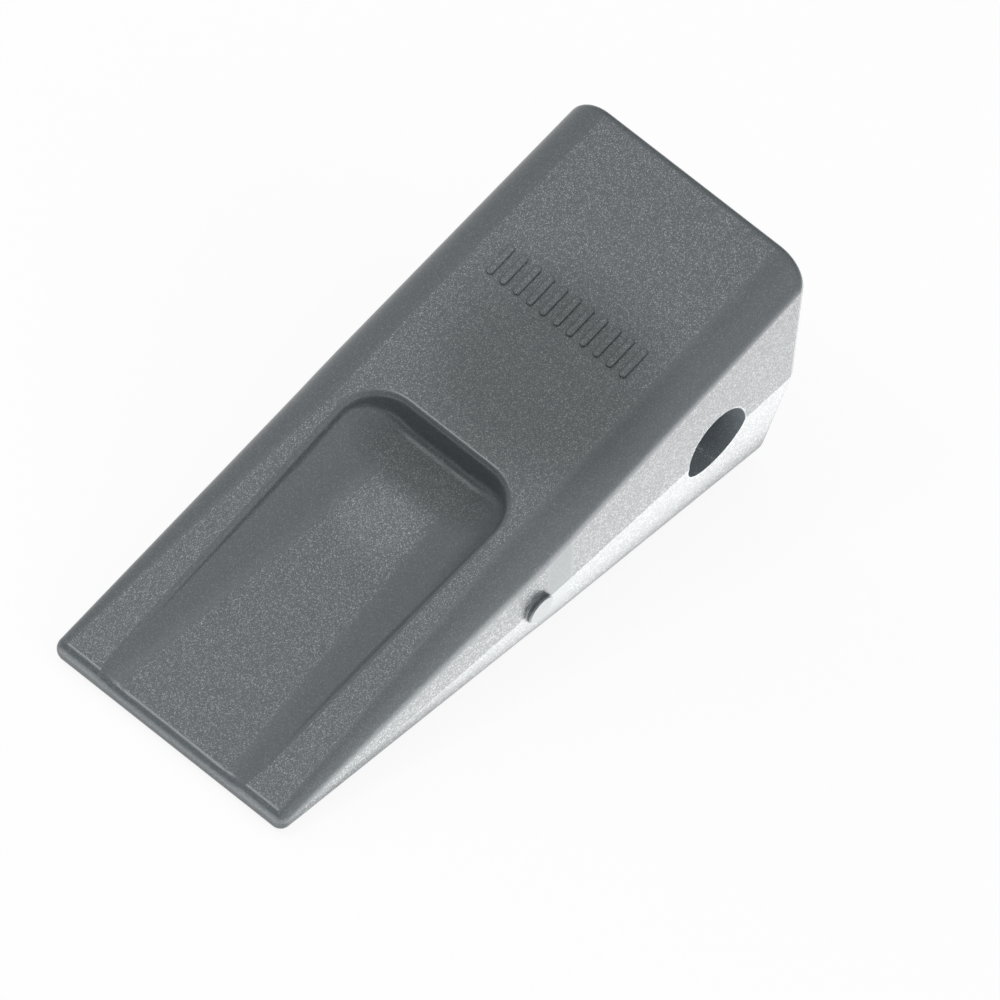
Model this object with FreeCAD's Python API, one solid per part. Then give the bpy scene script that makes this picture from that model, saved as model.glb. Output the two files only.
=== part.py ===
import FreeCAD, Part
import math
import os

V = FreeCAD.Vector

# Casting frame: X runs from the tip to the rear, Z up from the parting plane, Y across.
# Every size is in mm.
REAR_X = 255.3            # tip to rear face, on the parting plane
REAR_LEAN = 0.087         # rear face leans back this much per mm of height
REAR_ROUND = 3.0          # rounding round the rear edge
WEDGE_DEG = 11.195        # top and bottom each rise this much from the parting plane
TIP_HALF = 4.05           # half thickness at the tip
TIP_ROUND = 3.7           # rounding of the tip edge
TIP_HALF_WIDTH = 50.56    # half width on the parting plane at the tip
FRONT_FLARE = 0.0285      # growth of that half width per mm, front part
REAR_FLARE = 0.0057       # the same behind the bend
BEND_X = 135.2            # where the flare changes
BEND_FROM, BEND_TO = 130.1, 141.0
SIDE_DRAFT = 0.0977       # sides lean in this much per mm above and below the parting plane
EDGE_R_TIP = 4.1          # long edge rounding at the tip
EDGE_R_REAR = 13.3        # long edge rounding once it stops growing
EDGE_R_X = 122.6          # where it stops growing

RECESS_REAR = 139.4       # rear rim of the wear recess, tip to rim
RECESS_HALF_TIP = 33.1    # rim half width at the tip
RECESS_FLARE = 0.0216     # growth of that half width per mm of top face
RECESS_CORNER = 17.5      # plan radius of the two rear corners
RIM_R = 2.6               # rounding of the rim down into the wall
RIM_START_DEG = 3.0       # slope of the rounding where it leaves the top face
WALL_DEG = 78.0           # slope of the wall below that rounding
FLOOR_TIP = 0.92          # floor depth at the tip
FLOOR_FALL = 0.087        # floor depth gained per mm
FLANK_W_TIP = 9.5         # width of the curved flank at the tip
FLANK_W_GROW = 0.112      # its growth per mm
FLANK_R_TIP = 44.0        # its radius at the tip
FLANK_R_REAR = 31.0       # its radius at the rear rim
FOOT_R_TIP = 0.3          # blend between rim and flank where it starts, near the tip
FOOT_R = 3.6              # the same at the rear end of each side and along the rear wall

NUB_X = 124.6             # round cast nub on each side, on the parting plane
NUB_R = 5.85
NUB_END = 55.9            # its flat end, from the middle plane

SOCKET_CLEAR = 13.6       # from the recess's rear rim to the closed end of the nose socket
SOCKET_WALL = 13.8        # wall above and below it
SOCKET_HALF_MOUTH = 40.0  # half width at the mouth
SOCKET_HALF_END = 36.0    # half width at the closed end
SOCKET_R_MOUTH = 12.0
SOCKET_R_END = 8.0
SOCKET_FOOT_R = 6.0
BORE_FROM_REAR = 40.2     # cross bore for the retaining pin, on the parting plane
BORE_D = 28.5

MARK_FROM_REAR = 59.6     # plain raised bars on the rear top face
MARK_SPAN = 61.0
MARK_COUNT = 11
MARK_LONG = 13.0
MARK_WIDE = 2.6
MARK_PROUD = 0.9

BETA = math.radians(WEDGE_DEG)
TAN_B = math.tan(BETA)
COS_B = math.cos(BETA)
SIN_B = math.sin(BETA)
CORNER_TURN = math.radians(90) - math.atan(SIDE_DRAFT)
SOCKET_END = RECESS_REAR + SOCKET_CLEAR
BORE_X = REAR_X - BORE_FROM_REAR
MARK_X = REAR_X - MARK_FROM_REAR


def half_width(x):
    if x <= BEND_X:
        return TIP_HALF_WIDTH + FRONT_FLARE * x
    return TIP_HALF_WIDTH + FRONT_FLARE * BEND_X + REAR_FLARE * (x - BEND_X)


def edge_radius(x):
    part = min(1.0, x / EDGE_R_X)
    return EDGE_R_TIP + (EDGE_R_REAR - EDGE_R_TIP) * part


def rounded_corner(before, corner, after, radius, turn):
    # tangent points and middle point of the rounding at one corner
    back = (before - corner).normalize()
    ahead = (after - corner).normalize()
    reach = radius * math.tan(turn / 2)
    start = corner + back * reach
    end = corner + ahead * reach
    middle_way = (back + ahead).normalize()
    centre = corner + middle_way * (radius / math.cos(turn / 2))
    middle = centre - middle_way * radius
    return start, middle, end


def body_section(x):
    w = half_width(x)
    h = TIP_HALF + TAN_B * x
    r = edge_radius(x)
    top_w = w - SIDE_DRAFT * h
    ridge_l = V(x, w, 0)
    ridge_r = V(x, -w, 0)
    corners = [V(x, top_w, h), V(x, -top_w, h), V(x, -top_w, -h), V(x, top_w, -h)]
    around = [ridge_l, corners[0], corners[1], ridge_r, corners[2], corners[3]]
    edges = []
    last = ridge_l
    for i in range(1, 6):
        p = around[i]
        if i == 3:
            edges.append(Part.LineSegment(last, p).toShape())
            last = p
            continue
        start, middle, end = rounded_corner(around[i - 1], p, around[(i + 1) % 6], r, CORNER_TURN)
        edges.append(Part.LineSegment(last, start).toShape())
        edges.append(Part.Arc(start, middle, end).toShape())
        last = end
    edges.append(Part.LineSegment(last, ridge_l).toShape())
    return Part.Wire(edges)


def loft(sections):
    # ruled solid through the sections, its four-cornered flat faces made as true planes
    faces = []
    for f in Part.makeLoft(sections, True, True).Faces:
        straight = all(abs(e.Length - (e.Vertexes[0].Point - e.Vertexes[-1].Point).Length) < 1e-4 for e in f.Edges)
        if straight and len(f.Edges) == 4 and f.findPlane(1e-4):
            corners = [v.Point for v in f.OuterWire.OrderedVertexes]
            f = Part.Face(Part.makePolygon(corners + corners[:1]))
        faces.append(f)
    shell = Part.makeShell(faces)
    shell.sewShape()
    solid = Part.makeSolid(shell)
    if solid.Volume < 0:
        solid.reverse()
    return solid


def outer_body():
    stations = [0.0, EDGE_R_X, BEND_FROM, BEND_TO, REAR_X * 1.05]
    body = loft([body_section(x) for x in stations])
    reach = REAR_X / 2
    outline = [
        V(REAR_X - REAR_LEAN * reach, -reach, -reach),
        V(REAR_X + REAR_LEAN * reach, -reach, reach),
        V(REAR_X * 1.2, -reach, reach),
        V(REAR_X * 1.2, -reach, -reach),
    ]
    behind = Part.Face(Part.makePolygon(outline + outline[:1])).extrude(V(0, 2 * reach, 0))
    return body.cut(behind).removeSplitter()


def round_rear(body):
    edges = []
    for e in body.Edges:
        on_rear = True
        for t in (0.1, 0.5, 0.9):
            p = e.valueAt(e.FirstParameter + t * (e.LastParameter - e.FirstParameter))
            if abs(p.x - REAR_X - REAR_LEAN * p.z) > 0.02:
                on_rear = False
        if on_rear:
            edges.append(e)
    return body.makeFillet(REAR_ROUND, edges)


def round_tip(body):
    edges = []
    for e in body.Edges:
        box = e.BoundBox
        if box.XMax < 0.01:
            edges.append(e)
    return body.makeFillet(TIP_ROUND, edges)


def to_top(shape):
    # from the frame of the top face to the casting frame
    shape.rotate(V(0, 0, 0), V(0, 1, 0), -WEDGE_DEG)
    shape.translate(V(0, 0, TIP_HALF))
    return shape


RECESS_S = RECESS_REAR / COS_B
FRONT_S = -20.0


def rim_half(s):
    return RECESS_HALF_TIP + RECESS_FLARE * s


def wall_profile(origin, outward):
    # closed outline across the rim, from a corner radius inside to beyond the rim
    phi = math.radians(RIM_START_DEG)
    steep = math.radians(WALL_DEG)
    up = V(0, 0, 1)
    inset = RIM_R * (math.sin(steep) - math.sin(phi))
    drop = RIM_R * (math.cos(phi) - math.cos(steep))
    mid = (phi + steep) / 2

    def at(out, z):
        return origin + outward * out + up * z

    rim = at(0, 0)
    knee = at(-RIM_R * (math.sin(mid) - math.sin(phi)), -RIM_R * (math.cos(phi) - math.cos(mid)))
    foot = at(-inset, -drop)
    beyond = at(2.0 / math.tan(phi), 2.0)
    inner_top = at(-RECESS_CORNER, 2.0)
    inner_low = at(-RECESS_CORNER, -30.0)
    low = at(-inset - (30.0 - drop) / math.tan(steep), -30.0)
    edges = [
        Part.LineSegment(inner_top, beyond).toShape(),
        Part.LineSegment(beyond, rim).toShape(),
        Part.Arc(rim, knee, foot).toShape(),
        Part.LineSegment(foot, low).toShape(),
        Part.LineSegment(low, inner_low).toShape(),
        Part.LineSegment(inner_low, inner_top).toShape(),
    ]
    return Part.Face(Part.Wire(edges))


def swept_wall():
    flare = math.atan(RECESS_FLARE)
    along = V(math.cos(flare), math.sin(flare), 0)
    out = V(-math.sin(flare), math.cos(flare), 0)
    # corner centre: one corner radius inside both the rear rim and the side rim
    cx = RECESS_S - RECESS_CORNER
    cy = rim_half(cx) - RECESS_CORNER / math.cos(flare)
    centre = V(cx, cy, 0)
    touch = centre + out * RECESS_CORNER
    run = (touch.x - FRONT_S) / along.x
    side = wall_profile(touch, out).extrude(along * -run)
    rear = wall_profile(V(RECESS_S, cy, 0), V(1, 0, 0)).extrude(V(0, -2 * cy, 0))
    turn = math.degrees(math.pi / 2 + flare)
    corner = wall_profile(V(RECESS_S, cy, 0), V(1, 0, 0)).revolve(centre, V(0, 0, 1), turn)
    inner = [
        centre,
        V(cx, -cy, 0),
        V(FRONT_S, -cy + RECESS_FLARE * (cx - FRONT_S), 0),
        V(FRONT_S, cy - RECESS_FLARE * (cx - FRONT_S), 0),
    ]
    low = [p + V(0, 0, -30) for p in inner]
    middle = Part.Face(Part.makePolygon(low + low[:1])).extrude(V(0, 0, 32))
    other_side = side.mirror(V(0, 0, 0), V(0, 1, 0))
    other_corner = corner.mirror(V(0, 0, 0), V(0, 1, 0))
    return middle.multiFuse([side, rear, corner, other_side, other_corner]).removeSplitter()


def floor_section(s):
    d = FLOOR_TIP + FLOOR_FALL * s
    flat = rim_half(s) - FLANK_W_TIP - FLANK_W_GROW * s
    r = FLANK_R_TIP + (FLANK_R_REAR - FLANK_R_TIP) * s / RECESS_S
    turn = math.acos(1 - (d + 3.0) / r)
    arc = []
    for t in (0.0, turn / 2, turn):
        arc.append(V(s, flat + r * math.sin(t), -d + r * (1 - math.cos(t))))
    other = [V(p.x, -p.y, p.z) for p in arc]
    edges = [
        Part.LineSegment(other[0], arc[0]).toShape(),
        Part.Arc(arc[0], arc[1], arc[2]).toShape(),
        Part.LineSegment(arc[2], other[2]).toShape(),
        Part.Arc(other[2], other[1], other[0]).toShape(),
    ]
    return Part.Wire(edges)


def turn_between(shape, edge):
    # angle between the two faces that meet in an edge, at its middle
    p = edge.valueAt((edge.FirstParameter + edge.LastParameter) / 2)
    normals = []
    for f in shape.ancestorsOfType(edge, Part.Face):
        u, v = f.Surface.parameter(p)
        normals.append(f.normalAt(u, v))
    if len(normals) < 2:
        return 0.0
    return math.degrees(normals[0].getAngle(normals[1]))


def recess_cutter():
    floor = Part.makeLoft([floor_section(FRONT_S), floor_section(RECESS_S + RECESS_CORNER / 2)], True, True)
    cutter = swept_wall().common(floor).Solids[0]
    # blend the wall into the floor all round, from almost nothing near the tip
    radii = []
    for i, e in enumerate(cutter.Edges):
        box = e.BoundBox
        if box.ZMin > -0.5 or box.XMax < 0 or turn_between(cutter, e) < 5:
            continue
        if box.XMin > RECESS_S / 2:
            radii.append((i + 1, FOOT_R, FOOT_R))
        elif e.valueAt(e.FirstParameter).x < RECESS_S / 2:
            radii.append((i + 1, FOOT_R_TIP, FOOT_R))
        else:
            radii.append((i + 1, FOOT_R, FOOT_R_TIP))
    sheet = FreeCAD.newDocument("recess")
    base = sheet.addObject("Part::Feature", "cutter")
    base.Shape = cutter
    blend = sheet.addObject("Part::Fillet", "blend")
    blend.Base = base
    blend.Edges = radii
    sheet.recompute()
    return to_top(blend.Shape.copy())


def nub():
    root = NUB_END - 1.7
    edges = [
        Part.LineSegment(V(0, 40, 0), V(0, NUB_END, 0)).toShape(),
        Part.LineSegment(V(0, NUB_END, 0), V(NUB_R - 0.5, NUB_END, 0)).toShape(),
        Part.LineSegment(V(NUB_R - 0.5, NUB_END, 0), V(NUB_R, NUB_END - 0.5, 0)).toShape(),
        Part.LineSegment(V(NUB_R, NUB_END - 0.5, 0), V(NUB_R, root, 0)).toShape(),
        Part.Arc(V(NUB_R, root, 0), V(NUB_R + 0.8, root - 1.0, 0), V(NUB_R + 2.6, root - 1.7, 0)).toShape(),
        Part.LineSegment(V(NUB_R + 2.6, root - 1.7, 0), V(NUB_R + 2.6, 40, 0)).toShape(),
        Part.LineSegment(V(NUB_R + 2.6, 40, 0), V(0, 40, 0)).toShape(),
    ]
    turned = Part.Face(Part.Wire(edges)).revolve(V(0, 0, 0), V(0, 1, 0), 360)
    turned.translate(V(NUB_X, 0, 0))
    return turned


def socket_section(x, half_w, radius):
    h = TIP_HALF + TAN_B * x - SOCKET_WALL / COS_B
    corners = [V(x, half_w, h), V(x, -half_w, h), V(x, -half_w, -h), V(x, half_w, -h)]
    edges = []
    points = []
    for i in range(4):
        points.append(rounded_corner(corners[i - 1], corners[i], corners[(i + 1) % 4], radius, math.pi / 2))
    for i in range(4):
        start, middle, end = points[i]
        edges.append(Part.Arc(start, middle, end).toShape())
        edges.append(Part.LineSegment(end, points[(i + 1) % 4][0]).toShape())
    return Part.Wire(edges)


def socket():
    mouth_x = REAR_X * 1.04
    end = socket_section(SOCKET_END, SOCKET_HALF_END, SOCKET_R_END)
    mouth = socket_section(mouth_x, SOCKET_HALF_MOUTH, SOCKET_R_MOUTH)
    hollow = Part.makeLoft([end, mouth], True, True)
    foot = [e for e in hollow.Edges if e.BoundBox.XMax < SOCKET_END + 0.01]
    return hollow.makeFillet(SOCKET_FOOT_R, foot)


def marks():
    pitch = (MARK_SPAN - MARK_WIDE) / (MARK_COUNT - 1)
    s = MARK_X / COS_B
    bars = []
    for i in range(MARK_COUNT):
        y = -MARK_SPAN / 2 + MARK_WIDE / 2 + pitch * i
        bar = Part.makeBox(MARK_LONG, MARK_WIDE, 2 + MARK_PROUD, V(s - MARK_LONG / 2, y - MARK_WIDE / 2, -2))
        upright = [e for e in bar.Edges if e.BoundBox.ZLength > 1]
        bar = bar.makeFillet(0.45 * MARK_WIDE, upright)
        crown = [e for e in bar.Edges if e.BoundBox.ZMin > MARK_PROUD - 0.01]
        bar = bar.makeFillet(0.4, crown)
        bars.append(to_top(bar))
    return bars


def tooth():
    body = round_rear(outer_body())
    body = body.cut(recess_cutter())
    body = round_tip(body)
    near = nub()
    far = near.mirror(V(0, 0, 0), V(0, 1, 0))
    body = body.multiFuse([near, far] + marks())
    reach = 2 * half_width(BORE_X)
    bore = Part.makeCylinder(BORE_D / 2, 2 * reach, V(BORE_X, -reach, 0), V(0, 1, 0))
    body = body.cut(socket()).cut(bore)
    # turn it so the bottom face lies flat on z = 0, then centre it along X
    body.rotate(V(0, 0, 0), V(0, 1, 0), -WEDGE_DEG)
    body.translate(V(0, 0, TIP_HALF * COS_B))
    box = body.optimalBoundingBox(False, False)
    body.translate(V(-(box.XMin + box.XMax) / 2, 0, 0))
    print("shift", round(-(box.XMin + box.XMax) / 2, 4))
    return body


os.makedirs("parts", exist_ok=True)
solid = tooth()
print("solids", len(solid.Solids), "valid", solid.isValid(), "volume", round(solid.Volume, 1))
print("box", solid.optimalBoundingBox(False, False))
solid.Solids[0].exportStep("parts/tooth.step")
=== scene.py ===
import math

import bpy
from mathutils import Matrix, Vector

MM = 0.001

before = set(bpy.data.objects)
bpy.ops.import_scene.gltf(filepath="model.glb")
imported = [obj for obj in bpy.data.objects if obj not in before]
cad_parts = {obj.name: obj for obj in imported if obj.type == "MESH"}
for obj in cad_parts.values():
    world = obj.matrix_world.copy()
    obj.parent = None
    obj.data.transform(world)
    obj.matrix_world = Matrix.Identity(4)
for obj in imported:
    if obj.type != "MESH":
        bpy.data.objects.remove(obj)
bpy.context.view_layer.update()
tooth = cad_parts["tooth"]

# The casting's own sizes, in mm. Slopes are mm per mm. "As it lies" is on its lower face.
WEDGE = math.radians(22.39)       # between the top and the lower face
TIP = (-127.8334, 0, 3.973)       # middle of the tip edge, as it lies
TIP_HALF = 4.05                   # half thickness at the tip
SIDE_LEAN = 0.0977                # sides lean in above and below the joint line
SIDE_FLARES = (0.0285, 0.0057)    # sides widen to the rear, before and behind their bend
REAR_LEAN = 0.087                 # rear face leans back with height
RECESS_FALL = 0.087               # floor of the recess deepens to the rear
BEND_X = 135.55                   # middle of the band where the sides bend, from the tip
BEND_HALF = 4.6                   # half the width of that band
BEND_FADE = 6.6                   # distance from its middle where the grit is back in full
BORE = (83.1736, 0, 45.735)       # middle of the bore, as it lies
BORE_R = 14.25

# The coat and its grit
SMOOTH = "4e5457"                 # coat where it is rubbed smooth
GRAIN = "9ca0a3"                  # bright grains in it
GRIT = 0.25                       # width of a grain on the flat faces, mm
GRIT_SIDES = 0.4545               # width of a grain on the rougher sides, mm
GRIT_RARE = 6.0                   # the higher, the fewer grains are bright
GRIT_LEAST = 0.35                 # share of the grit that is left on the roundings
GRIT_SIDES_MORE = 2.0             # share that the sides have on top
RELIEF = 0.05                     # height of the relief, mm
RELIEF_SIDES = 0.3                # share of it on the sides
ROUGH_SMOOTH = 0.3
ROUGH_FLAT = 0.4
FLAT_FULL = 1.0                   # degrees off a face's direction that still count as that face
FLAT_END = 3.5                    # degrees off it where the rounding's finish is full

# How much brighter or darker the coat is in places, as a share of its tone. Behind the recess, at its rear
# wall's foot, on its floor and in the bore this is painted shade or light
BEHIND_PAINTED_SHADE = -0.38               # painted shade on the top behind the recess
FOOT_PAINTED_SHADE = -0.4                  # painted shade at the foot of the recess's rear wall
SIDES_TONE = -0.3
PAINTED_GLARE_TONE = 0.25                  # painted glare: a paler spot on the recess's floor
BORE_PAINTED_LIGHT = 0.7                   # painted light on the wall of the bore
BORE_FULL = 1.02                  # times the bore's radius, up to where its tone is full
BORE_END = 1.06                   # times that radius, from where it is gone

# The surroundings, as brightness where 1 is white
WHITE = "ffffff"
FLOOR_GREY = "f3f3f3"
FLOOR_LIT = 0.9                   # share of the floor that is plain white, the rest takes shadow
FLOOR_HALF = 12.0                 # half the floor's width, m
FLOOR_DROP = 0.0001               # floor's distance below the casting, m
SKY_LEAST = 0.15                  # towards both ends of the casting
SKY_ACROSS = 0.9                  # added towards its sides and overhead
SKY_ACROSS_POWER = 4.0
SKY_NEAR = 0.5                    # added towards the near side
SKY_NEAR_POWER = 2.0
SKY_NEAR_WAY = (0, -1, 0.2)
LAMP_AIM = (0, 0, 0.05)           # middle of the casting, m

# The camera, fitted to the view with the image 1000 pixels wide
FRAME_PIXELS = 1000
PIXELS_PER_MM = 3.0414
TIP_PIXEL = (167.107, 738.951)    # where the middle of the tip edge falls, from the top left
VIEW_RIGHT = (0.62231, -0.75212, 0.21696)
VIEW_BACK = (-0.61435, -0.29749, 0.73081)
CAMERA_AWAY = 8.0                 # m
CAMERA_REACH = 50                 # m
SENSOR = 36                       # mm


def linear(code):
    # sRGB hex value to linear colour
    out = []
    for i in (0, 2, 4):
        c = int(code[i:i + 2], 16) / 255
        out.append(c / 12.92 if c <= 0.04045 else ((c + 0.055) / 1.055) ** 2.4)
    return (out[0], out[1], out[2], 1.0)


def node(tree, kind, inputs=None, **settings):
    # adds one node, sets it up and feeds its inputs with values or with other sockets
    made = tree.nodes.new(kind)
    for name, value in settings.items():
        setattr(made, name, value)
    for key, value in (inputs or {}).items():
        if isinstance(value, bpy.types.NodeSocket):
            tree.links.new(value, made.inputs[key])
        else:
            made.inputs[key].default_value = value
    return made


def new_material(name):
    made = bpy.data.materials.new(name)
    made.use_nodes = True
    made.node_tree.nodes.clear()
    return made


def lean(n):
    # direction given along and across the casting, turned to how it lies on its base
    half = WEDGE / 2
    return (
        n[0] * math.cos(half) - n[2] * math.sin(half),
        n[1],
        n[0] * math.sin(half) + n[2] * math.cos(half),
    )


def flat_faces():
    # outward directions of the top, the recess's floor, the lower face and the rear face
    top = WEDGE / 2
    recess = top - math.atan(RECESS_FALL)
    return [
        lean((-math.sin(top), 0, math.cos(top))),
        lean((-math.sin(recess), 0, math.cos(recess))),
        (0, 0, -1),
        lean(Vector((1, 0, -REAR_LEAN)).normalized()),
    ]


def side_faces():
    # outward directions of the sides, which lean in above and below the joint line
    found = []
    for side in (1, -1):
        for height in (1, -1):
            for flare in SIDE_FLARES:
                found.append(lean(Vector((-flare, side, SIDE_LEAN * height)).normalized()))
    return found


def near_any(t, directions):
    # 1 where the surface faces one of these directions, falling to 0 where it turns away
    normal = node(t, "ShaderNodeNewGeometry").outputs["Normal"]
    best = None
    for direction in directions:
        facing = node(t, "ShaderNodeVectorMath", {0: normal, 1: direction}, operation="DOT_PRODUCT")
        if best is None:
            best = facing.outputs["Value"]
        else:
            larger = node(t, "ShaderNodeMath", {0: best, 1: facing.outputs["Value"]}, operation="MAXIMUM")
            best = larger.outputs[0]
    step = node(t, "ShaderNodeMapRange", {
        "Value": best,
        "From Min": math.cos(math.radians(FLAT_END)),
        "From Max": math.cos(math.radians(FLAT_FULL)),
    })
    return step.outputs["Result"]


def off_band(t, place):
    # 0 on the rubbed band where the sides bend, 1 away from it
    ahead = Vector(lean((1, 0, 0)))
    middle = BEND_X * MM + (Vector(TIP) * MM).dot(ahead)
    along = node(t, "ShaderNodeVectorMath", {0: place, 1: tuple(ahead)}, operation="DOT_PRODUCT")
    off = node(t, "ShaderNodeMath", {0: along.outputs["Value"], 1: middle}, operation="SUBTRACT")
    far = node(t, "ShaderNodeMath", {0: off.outputs[0]}, operation="ABSOLUTE")
    step = node(t, "ShaderNodeMapRange", {
        "Value": far.outputs[0],
        "From Min": BEND_HALF * MM,
        "From Max": BEND_FADE * MM,
    })
    return step.outputs["Result"]


def side_mask(t, place):
    # 1 on the sides, 0 elsewhere
    factors = {0: near_any(t, side_faces()), 1: off_band(t, place)}
    return node(t, "ShaderNodeMath", factors, operation="MULTIPLY").outputs[0]


def soft_oval(t, place, centre, half, blur):
    # 1 inside a soft oval on the top or in the recess, 0 outside it. In mm: its centre along the
    # top from the tip's upper edge, across it and down into it, and half its length, width and depth.
    up = Vector((-math.sin(WEDGE), 0, math.cos(WEDGE)))
    ahead = Vector((math.cos(WEDGE), 0, math.sin(WEDGE)))
    edge = Vector(TIP) + Vector(lean((0, 0, TIP_HALF)))
    along, across, down = centre
    middle = (edge + ahead * along + Vector((0, across, 0)) - up * down) * MM
    local = node(t, "ShaderNodeMapping", {
        "Vector": place,
        "Location": tuple(middle),
        "Rotation": (0, -WEDGE, 0),
        "Scale": tuple(Vector(half) * MM),
    }, vector_type="TEXTURE")
    away = node(t, "ShaderNodeVectorMath", {0: local.outputs["Vector"]}, operation="LENGTH")
    inside = node(t, "ShaderNodeMapRange", {
        "Value": away.outputs["Value"],
        "From Min": 1 + blur,
        "From Max": 1 - blur,
    }, interpolation_type="SMOOTHSTEP")
    return inside.outputs["Result"]


def bore_mask(t, place):
    # 1 on the bore's wall, 0 beside it
    local = node(t, "ShaderNodeMapping", {
        "Vector": place,
        "Location": tuple(Vector(BORE) * MM),
        "Scale": (BORE_R * MM, 1, BORE_R * MM),
    }, vector_type="TEXTURE")
    off = node(t, "ShaderNodeVectorMath", {0: local.outputs["Vector"]}, operation="LENGTH")
    inside = node(t, "ShaderNodeMapRange", {
        "Value": off.outputs["Value"],
        "From Min": BORE_END,
        "From Max": BORE_FULL,
    })
    return inside.outputs["Result"]


def cast_steel():
    # Sand-cast alloy steel, shot-blasted and dipped in a thin dark grey coat.
    # The flat faces keep the grit's bright fine grain, the roundings are rubbed smooth.
    made = new_material("cast_steel")
    t = made.node_tree
    place = node(t, "ShaderNodeTexCoord").outputs["Object"]
    sides = side_mask(t, place)
    # foot of the recess's rear wall: grit and roughness as on the flat faces, and painted shade in its
    # crease
    foot = soft_oval(t, place, centre=(127.5, 0, 11.5), half=(9, 27, 12), blur=0.5)
    # painted shade on the top behind the recess
    behind = soft_oval(t, place, centre=(176, -10, 0), half=(36, 38, 12), blur=0.45)
    # painted glare on the recess's floor
    spot = soft_oval(t, place, centre=(105, 1, 10), half=(13, 14, 12), blur=0.4)
    # painted light that brightens the inside of the bore
    bore = bore_mask(t, place)
    flats = near_any(t, flat_faces())
    flats = node(t, "ShaderNodeMath", {0: flats, 1: foot}, operation="MAXIMUM").outputs[0]
    # 1 where the grit shows in full, 0 on the roundings
    gritty = node(t, "ShaderNodeMath", {0: flats, 1: sides}, operation="MAXIMUM").outputs[0]
    pitch = node(t, "ShaderNodeMapRange", {
        "Value": sides,
        "To Min": 1 / (GRIT * MM),
        "To Max": 1 / (GRIT_SIDES * MM),
    })
    grit = node(t, "ShaderNodeTexVoronoi", {"Vector": place, "Scale": pitch.outputs["Result"]})
    spread = node(t, "ShaderNodeSeparateColor", {"Color": grit.outputs["Color"]})
    bright = node(t, "ShaderNodeMath", {0: spread.outputs[0], 1: GRIT_RARE}, operation="POWER").outputs[0]
    share = node(t, "ShaderNodeMath", {0: gritty, 1: GRIT_LEAST}, operation="MAXIMUM").outputs[0]
    shares = {0: sides, 1: GRIT_SIDES_MORE, 2: share}
    share = node(t, "ShaderNodeMath", shares, operation="MULTIPLY_ADD").outputs[0]
    amount = node(t, "ShaderNodeMath", {0: bright, 1: share}, operation="MULTIPLY").outputs[0]
    coat = node(t, "ShaderNodeMix", {0: amount, 6: linear(SMOOTH), 7: linear(GRAIN)}, data_type="RGBA")
    level = 1.0
    # scale the coat's tone: painted shade behind the recess and at the wall's foot, painted glare on its
    # floor, painted light in the bore, and the sides darker
    for where, more in (
        (behind, BEHIND_PAINTED_SHADE),
        (foot, FOOT_PAINTED_SHADE),
        (sides, SIDES_TONE),
        (spot, PAINTED_GLARE_TONE),
        (bore, BORE_PAINTED_LIGHT),
    ):
        level = node(t, "ShaderNodeMath", {0: where, 1: more, 2: level}, operation="MULTIPLY_ADD").outputs[0]
    tone = node(t, "ShaderNodeVectorMath", {0: coat.outputs[2], "Scale": level}, operation="SCALE")
    relief = node(t, "ShaderNodeMath", {0: sides, 1: RELIEF_SIDES, 2: flats}, operation="MULTIPLY_ADD")
    bump = node(t, "ShaderNodeBump", {
        "Strength": relief.outputs[0],
        "Distance": RELIEF * MM,
        "Height": grit.outputs["Distance"],
    })
    rough = node(t, "ShaderNodeMapRange", {"Value": flats, "To Min": ROUGH_SMOOTH, "To Max": ROUGH_FLAT})
    shader = node(t, "ShaderNodeBsdfPrincipled", {
        "Base Color": tone.outputs["Vector"],
        "Metallic": 0.0,
        "Roughness": rough.outputs["Result"],
        "Normal": bump.outputs["Normal"],
    })
    node(t, "ShaderNodeOutputMaterial", {"Surface": shader.outputs["BSDF"]})
    return made


def seen_direct(t):
    # 1 for what the camera sees, also in gloss and through glass
    ray = node(t, "ShaderNodeLightPath")
    seen = ray.outputs["Is Camera Ray"]
    for way in ("Is Glossy Ray", "Is Transmission Ray"):
        seen = node(t, "ShaderNodeMath", {0: seen, 1: ray.outputs[way]}, operation="MAXIMUM").outputs[0]
    return seen


def pale_floor():
    # matt pale table top: white to the eye and in gloss, but still a surface that takes a shadow
    made = new_material("pale_floor")
    t = made.node_tree
    matt = node(t, "ShaderNodeBsdfDiffuse", {"Color": linear(FLOOR_GREY)})
    white = node(t, "ShaderNodeEmission", {"Color": linear(WHITE), "Strength": 1.0})
    share = node(t, "ShaderNodeMath", {0: seen_direct(t), 1: FLOOR_LIT}, operation="MULTIPLY")
    mixed = node(t, "ShaderNodeMixShader", {0: share.outputs[0], 1: matt.outputs[0], 2: white.outputs[0]})
    node(t, "ShaderNodeOutputMaterial", {"Surface": mixed.outputs[0]})
    return made


def floor():
    size = FLOOR_HALF
    mesh = bpy.data.meshes.new("floor")
    corners = [(-size, -size, 0), (size, -size, 0), (size, size, 0), (-size, size, 0)]
    mesh.from_pydata(corners, [], [(0, 1, 2, 3)])
    mesh.materials.append(pale_floor())
    made = bpy.data.objects.new("floor", mesh)
    made.location.z = -FLOOR_DROP
    bpy.context.scene.collection.objects.link(made)


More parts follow.
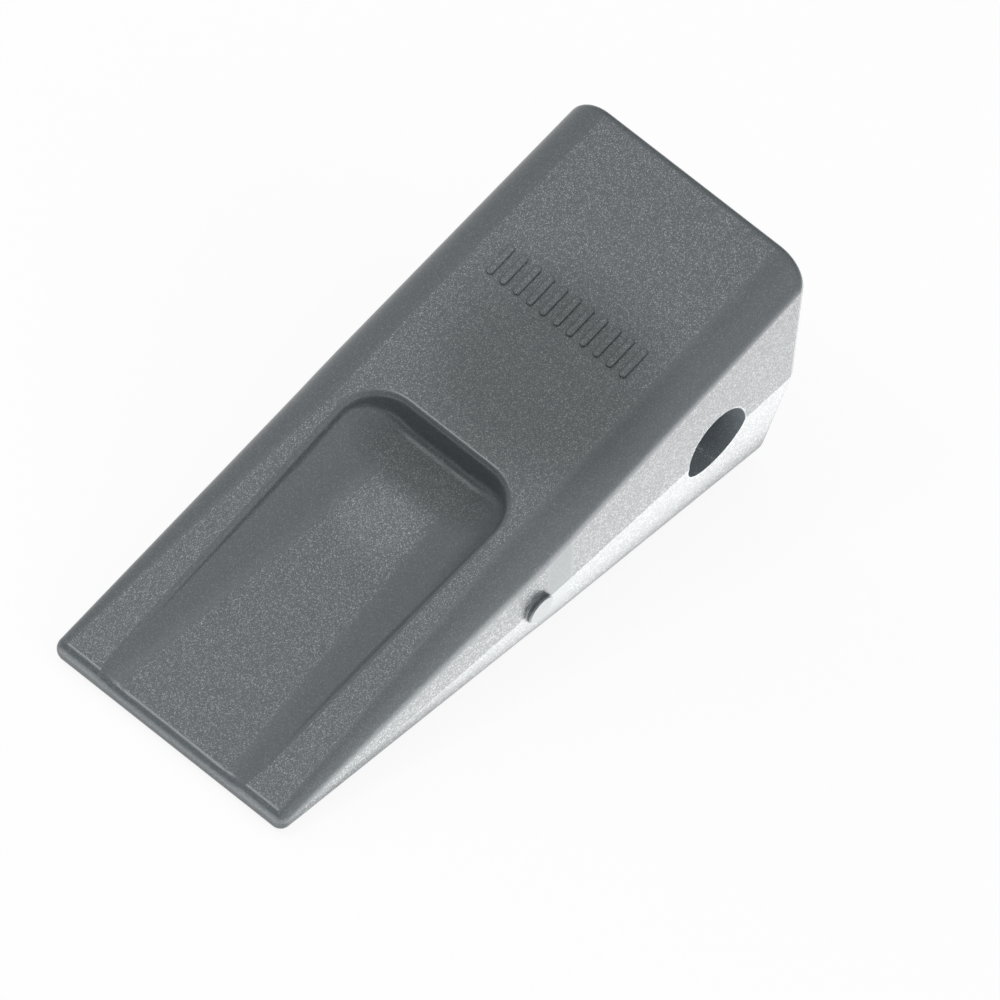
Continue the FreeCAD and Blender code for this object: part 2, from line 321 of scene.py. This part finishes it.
def surroundings():
    # soft sky, bright across the casting and overhead, dim along it, with more from the near side
    world = bpy.data.worlds.new("studio")
    bpy.context.scene.world = world
    world.use_nodes = True
    t = world.node_tree
    t.nodes.clear()
    way = node(t, "ShaderNodeTexCoord").outputs["Generated"]
    across = node(t, "ShaderNodeVectorMath", {0: way, 1: (0, 1, 1)}, operation="MULTIPLY")
    share = node(t, "ShaderNodeVectorMath", {0: across.outputs[0]}, operation="LENGTH")
    broad = node(t, "ShaderNodeMath", {0: share.outputs["Value"], 1: SKY_ACROSS_POWER}, operation="POWER")
    sums = {0: broad.outputs[0], 1: SKY_ACROSS, 2: SKY_LEAST}
    level = node(t, "ShaderNodeMath", sums, operation="MULTIPLY_ADD")
    near_way = tuple(Vector(SKY_NEAR_WAY).normalized())
    facing = node(t, "ShaderNodeVectorMath", {0: way, 1: near_way}, operation="DOT_PRODUCT")
    front = node(t, "ShaderNodeMath", {0: facing.outputs["Value"], 1: 0.0}, operation="MAXIMUM")
    soft = node(t, "ShaderNodeMath", {0: front.outputs[0], 1: SKY_NEAR_POWER}, operation="POWER")
    sums = {0: soft.outputs[0], 1: SKY_NEAR, 2: level.outputs[0]}
    level = node(t, "ShaderNodeMath", sums, operation="MULTIPLY_ADD")
    sky = node(t, "ShaderNodeBackground", {"Color": linear(WHITE), "Strength": level.outputs[0]})
    node(t, "ShaderNodeOutputWorld", {"Surface": sky.outputs[0]})


def area_lamp(name, place, turn, size, watts):
    lamp = bpy.data.lights.new(name, "AREA")
    lamp.shape = "RECTANGLE"
    lamp.size, lamp.size_y = size
    lamp.energy = watts
    made = bpy.data.objects.new(name, lamp)
    made.location = place
    made.rotation_euler = turn
    bpy.context.scene.collection.objects.link(made)


def softbox(name, place, size, watts):
    # lamp hung above the table and turned to the casting
    turn = (Vector(LAMP_AIM) - Vector(place)).to_track_quat("-Z", "Y").to_euler()
    area_lamp(name, place, turn, size, watts)


def lit_panel(name, place, size, level):
    # panel laid on the table beside the casting, shining upwards; the level is its brightness
    area_lamp(name, place, (math.pi, 0, 0), size, level * math.pi * size[0] * size[1])


def camera():
    # long lens, so that the view is as good as parallel
    toward = Vector(VIEW_BACK).normalized()
    right = Vector(VIEW_RIGHT)
    right = (right - toward * right.dot(toward)).normalized()
    up = toward.cross(right)
    middle = FRAME_PIXELS / 2
    shift = right * (middle - TIP_PIXEL[0]) + up * (TIP_PIXEL[1] - middle)
    aim = (Vector(TIP) + shift / PIXELS_PER_MM) * MM
    lens = bpy.data.cameras.new("camera")
    lens.sensor_width = SENSOR
    lens.lens = SENSOR * CAMERA_AWAY / (FRAME_PIXELS / PIXELS_PER_MM * MM)
    lens.clip_end = CAMERA_REACH
    made = bpy.data.objects.new("camera", lens)
    turn = Matrix((right, up, toward)).transposed().to_4x4()
    made.matrix_world = Matrix.Translation(aim + toward * CAMERA_AWAY) @ turn
    bpy.context.scene.collection.objects.link(made)
    bpy.context.scene.camera = made


tooth.data.materials.clear()
tooth.data.materials.append(cast_steel())
floor()
surroundings()
softbox("overhead", place=(-0.18, 0.26, 1.2), size=(0.34, 0.34), watts=0.6)
# small and strong, for the thin bright lines on the recess's rim and along the tip
softbox("spot", place=(-0.50, 0.37, 1.09), size=(0.2, 0.2), watts=2.6)
lit_panel("near table", place=(0.06, -0.105, 0.002), size=(0.5, 0.1), level=2.6)
lit_panel("front table", place=(-0.1845, 0, 0.002), size=(0.11, 0.11), level=1.6)
camera()

bpy.context.scene.view_settings.view_transform = "Standard"
